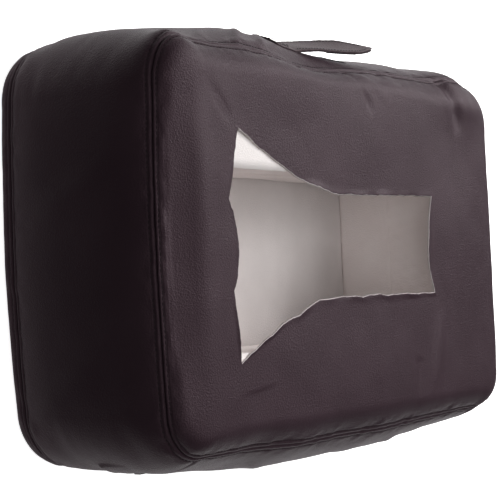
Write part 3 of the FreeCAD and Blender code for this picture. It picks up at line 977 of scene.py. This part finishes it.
def lay_strap(grid):
    """Middle, outward normal and width direction at even distances along the strap, and how it
    curves across. It is sewn to the side at its root, then goes on straight while the side falls
    away under it."""
    ways = np.linspace(0, STRAP_LENGTH, 136)
    free = free_share(ways)
    x = ROOT_LOW.x + ways
    z = ROOT_Z + STRAP_RISE * free ** 1.5
    sewn = side_surface(grid, x, np.full_like(x, ROOT_Z))
    above = side_surface(grid, x, np.full_like(x, ROOT_Z + STRAP_HALF))
    below = side_surface(grid, x, np.full_like(x, ROOT_Z - STRAP_HALF))
    slope = (below - above) / (2 * STRAP_HALF)
    curve = ((above + below) / 2 - sewn) / STRAP_HALF ** 2
    last = int(np.argmin(np.abs(ways - STRAP_ROOT)))
    curve = np.where(free > 0, curve[last] * np.clip(1 - 3 * free, 0, 1) ** 2, curve)
    straight = sewn[last] + STRAP_STAND_OFF * free
    y = np.where(free > 0, straight, sewn) + 2 * STRAP_LAYER + 0.0003
    twist = np.clip((free - 0.20) / 0.50, 0, 1)
    lean = np.arctan(slope[last]) + STRAP_TWIST * twist ** 2 * (3 - 2 * twist)
    lean = np.where(free > 0, lean, np.arctan(slope))
    middle = np.stack([x, y, z], 1)
    tangent = unit(np.gradient(middle, axis=0))
    width = np.stack([np.zeros_like(x), -np.sin(lean), np.cos(lean)], 1)
    width = unit(width - tangent * (width * tangent).sum(1)[:, None])
    return ways, np.stack([middle, unit(np.cross(width, tangent)), width], 1), curve


def strap_frames(ways, lay):
    """The same three at any distances along the strap."""
    known, values, _ = lay
    found = np.stack([[np.interp(ways, known, values[:, part, axis]) for axis in range(3)]
                      for part in range(3)])
    return found.transpose(0, 2, 1)


def strap_grid(lay, ways, shares, half_width, depth):
    """A grid on the strap. shares run across it from -1 to 1; depth is under its leather face."""
    middle, normal, width = strap_frames(ways, lay)
    across = shares[:, None] * half_width(ways)
    curve = np.interp(ways, lay[0], lay[2]) + STRAP_CUP * free_share(ways) / STRAP_HALF ** 2
    bend = curve * across ** 2
    return (middle[None] + width[None] * across[..., None]
            + normal[None] * (bend - depth)[..., None])


def strap_half_width(ways):
    """The strap narrows to a blunt point."""
    left = np.clip((STRAP_LENGTH - ways) / STRAP_POINT, 0, 1)
    wobble = 0.0003 * np.sin(ways * 310) + 0.0002 * np.sin(ways * 870)
    return (STRAP_HALF + wobble) * (0.07 + 0.93 * np.sin(left * math.pi / 2))


def bend_strap(obj):
    """Bakes a strap piece's transform into its mesh."""
    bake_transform(obj)


def make_strap(lay):
    """The strap's two layers, each in one piece from the sewn end to the point."""
    ways = np.concatenate([np.linspace(0, STRAP_LENGTH - STRAP_POINT, 80)[:-1],
                           np.linspace(STRAP_LENGTH - STRAP_POINT, STRAP_LENGTH, 24)])
    shares = np.linspace(-1, 1, 19)
    clear = 0.00002             # keeps the two layers from touching
    layers = {
        "strap_outer": (np.zeros(len(ways)), STRAP_LEATHER, "strap_leather",
                        ("strap_leather", "strap_root_leather")),
        "strap_inner": (STRAP_LAYER + layer_gap(ways), STRAP_LINING, "strap_lining",
                        ("strap_lining", "strap_root_lining")),
    }
    for name, (depth, material, slot, nodes) in layers.items():
        outer = strap_grid(lay, ways, shares, strap_half_width, depth + clear)
        inner = strap_grid(lay, ways, shares, strap_half_width, depth + STRAP_LAYER - clear)
        obj = sheet_object(name, outer[::-1], inner[::-1], False, [material, material])
        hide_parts(*nodes)
        bend_strap(obj)


def patch_half_width(ways):
    return np.full_like(ways, PATCH_HALF)


def make_hook_patch(lay):
    """The hook patch, on the strap's inner face."""
    ways = np.linspace(HOOK_START, HOOK_START + HOOK_LENGTH, 12)
    shares = np.linspace(-1, 1, 19)
    depth = 2 * STRAP_LAYER + layer_gap(ways)
    outer = strap_grid(lay, ways, shares, patch_half_width, depth)
    inner = strap_grid(lay, ways, shares, patch_half_width, depth + PATCH_THICKNESS)
    hook = sheet_object("hook_patch", outer[::-1], inner[::-1], False, [HOOKS, HOOKS])
    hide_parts("strap_hook_patch")
    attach(hook, "strap")


def stitch_half_width(ways):
    return strap_half_width(ways) - STRAP_STITCH


def edge_stitches(lay, ways):
    """Stitches beside both long edges of a part of the strap."""
    normal = strap_frames(ways, lay)[1]
    found = []
    for line in strap_grid(lay, ways, np.array([-1.0, 1.0]), stitch_half_width, 0 * ways):
        found += stitches_along(line, normal, False)
    return found


def make_strap_stitches(lay):
    """Stitching beside the free length's long edges, and a sewn box on the sewn end."""
    free_ways = np.linspace(STRAP_ROOT + 0.004, STRAP_LENGTH - 0.007, 120)
    finish_stitches("strap_topstitching", edge_stitches(lay, free_ways), "strap_stitching")
    found = edge_stitches(lay, np.linspace(STRAP_STITCH, STRAP_ROOT - STRAP_STITCH, 20))
    for way in (STRAP_STITCH, STRAP_ROOT - STRAP_STITCH):
        middle, out, width = strap_frames(np.array([way]), lay)[:, 0]
        ends = np.linspace(-1, 1, 12)[:, None] * (STRAP_HALF - STRAP_STITCH)
        found += stitches_along(middle + width * ends, np.repeat(out[None], 12, 0), False)
    finish_stitches("strap_root_topstitching", found, "strap_root_stitching")


def make_loop_patch(grid, rows):
    """The loop patch follows the side under the strap's hook patch."""
    normals = grid_normals(grid, True)
    low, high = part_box("strap_loop_patch")
    side = grid[rows.index(row_at_height(WINDOW_HIGH))]
    columns = np.flatnonzero((side[:, 0] > low.x) & (side[:, 0] < high.x) & (side[:, 1] > 0.1))
    chosen = [index for index, row in enumerate(rows)
              if row_at_height(low.z) <= row <= row_at_height(high.z)]
    part = grid[chosen][:, columns]
    out = normals[chosen][:, columns]
    rim = np.ones(part.shape[:2])
    rim[[0, -1]] = 0.3
    rim[:, [0, -1]] = 0.3
    nap = 0.0008 * rim + 0.00008 * waves(part, 0.0025, 71)
    obj = sheet_object("loop_patch", part + nap[..., None] * out, part - 0.0002 * out, False,
                       [LOOPS, LOOPS])
    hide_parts("strap_loop_patch")
    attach(obj, "cushion")


# Zip

def dress_zip():
    """The zip's own CAD parts, with materials and slightly rounded edges."""
    dress = {
        "zip_tape_upper": TAPE, "zip_tape_lower": TAPE,
        "zip_teeth_upper": TEETH, "zip_teeth_lower": TEETH,
        "zip_end_stops": METAL, "zip_slider": METAL, "zip_pull": METAL,
    }
    for name, material in dress.items():
        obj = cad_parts[name]
        obj.data.materials.clear()
        obj.data.materials.append(material)
        if material is METAL:
            bevel = obj.modifiers.new("rounded edges", "BEVEL")
            bevel.width = 0.00025
            bevel.segments = 2


# Studio

def area_light(name, place, size, power):
    data = bpy.data.lights.new(name, "AREA")
    data.shape = "SQUARE"
    data.size = size
    data.energy = power
    obj = bpy.data.objects.new(name, data)
    bpy.context.scene.collection.objects.link(obj)
    obj.location = place
    direction = Vector(LIGHT_TARGET) - obj.location
    obj.rotation_euler = direction.to_track_quat("-Z", "Y").to_euler()
    return obj


def glow(tree, strength, to_camera, to_object):
    """A backdrop's strength: bright where it is seen, weaker as a light."""
    seen = add_node(tree, "ShaderNodeLightPath").outputs["Is Camera Ray"]
    mix = add_node(tree, "ShaderNodeMath", {0: seen, 1: to_camera - to_object, 2: to_object},
                   operation="MULTIPLY_ADD")
    tree.links.new(mix.outputs[0], strength)


def make_floor():
    """A pale floor that ends close to the cushion's near end, so that it lights that end little."""
    material, tree, shader = new_material("studio_floor")
    tone = add_node(tree, "ShaderNodeTexNoise", {"Vector": position(tree), "Scale": 2})
    tree.links.new(mixed_colour(tree, tone.outputs["Fac"], (0.90, 0.90, 0.90), (0.92, 0.92, 0.92)),
                   shader.inputs["Base Color"])
    shader.inputs["Roughness"].default_value = 1.0
    shader.inputs["Emission Color"].default_value = (1, 1, 1, 1)
    glow(tree, shader.inputs["Emission Strength"], 0.9, 0.4)
    near = -HALF_LENGTH - FLOOR_MARGIN
    corners = [(near, -FLOOR_REACH, 0), (FLOOR_REACH, -FLOOR_REACH, 0),
               (FLOOR_REACH, FLOOR_REACH, 0), (near, FLOOR_REACH, 0)]
    floor = new_object("studio_floor", corners, [(0, 1, 2, 3)], [material], smooth=False)
    floor.location.z = -0.0004


def make_world():
    world = bpy.data.worlds.new("studio")
    world.use_nodes = True
    background = world.node_tree.nodes["Background"]
    background.inputs["Color"].default_value = (1, 1, 1, 1)
    glow(world.node_tree, background.inputs["Strength"], 1.0, 0.16)
    bpy.context.scene.world = world


def make_camera():
    data = bpy.data.cameras.new("camera")
    data.lens = CAMERA_LENS
    data.sensor_width = 36
    camera = bpy.data.objects.new("camera", data)
    forward = Vector(CAMERA_FORWARD).normalized()
    right = Vector(CAMERA_RIGHT).normalized()
    up = right.cross(forward)
    turn = Matrix((right, up, -forward)).transposed()
    camera.matrix_world = Matrix.Translation(CAMERA_PLACE) @ turn.to_4x4()
    bpy.context.scene.collection.objects.link(camera)
    bpy.context.scene.camera = camera


def make_studio():
    make_floor()
    make_world()
    lights = [area_light(name, *light) for name, light in LIGHTS.items()]
    make_camera()
    scene = bpy.context.scene
    scene.view_settings.view_transform = "Standard"
    scene.view_settings.exposure = 0.0
    scene.view_settings.gamma = 0.85


def main():
    """Builds every piece and the studio."""
    grid, rows = cover_grid()
    make_cover(grid, rows)
    make_foam_base()
    make_foam_ring("foam_inner_layer", BASE_HIGH.z, MIDDLE_HIGH.z, "foam_middle_layer", 51)
    make_foam_ring("foam_face_layer", MIDDLE_HIGH.z, HEIGHT - WALL - 0.0004, "foam_front_layer", 53)
    lay = lay_strap(grid)
    make_strap(lay)
    make_strap_stitches(lay)
    make_hook_patch(lay)
    make_loop_patch(grid, rows)
    dress_zip()
    make_studio()


main()
